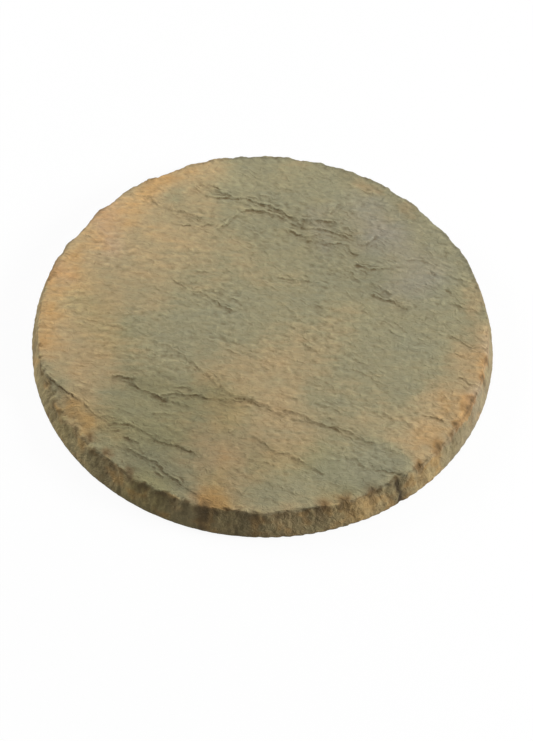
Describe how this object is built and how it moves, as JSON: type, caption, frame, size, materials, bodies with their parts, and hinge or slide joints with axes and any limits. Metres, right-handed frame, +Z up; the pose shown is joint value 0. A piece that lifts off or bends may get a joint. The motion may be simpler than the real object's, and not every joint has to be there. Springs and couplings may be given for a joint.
{
  "type": "garden stepping stone",
  "caption": "Round slab with a riven, buff and grey-green face, a pitched edge that leans out to a flat base, laid on soil, gravel or turf to step on.",
  "frame": {"origin": "middle of the flat base, on the ground", "axes": "+Z up, square to the face; +X to the right and +Y away from the viewer as the picture shows the stone"},
  "size_m": [0.45, 0.45, 0.032],
  "materials": {
    "riven_stone": "matt, riven and sandy, blended buff and grey-green"
  },
  "bodies": {
    "root": {"stepping_stone": "riven_stone"}
  },
  "joints": []
}
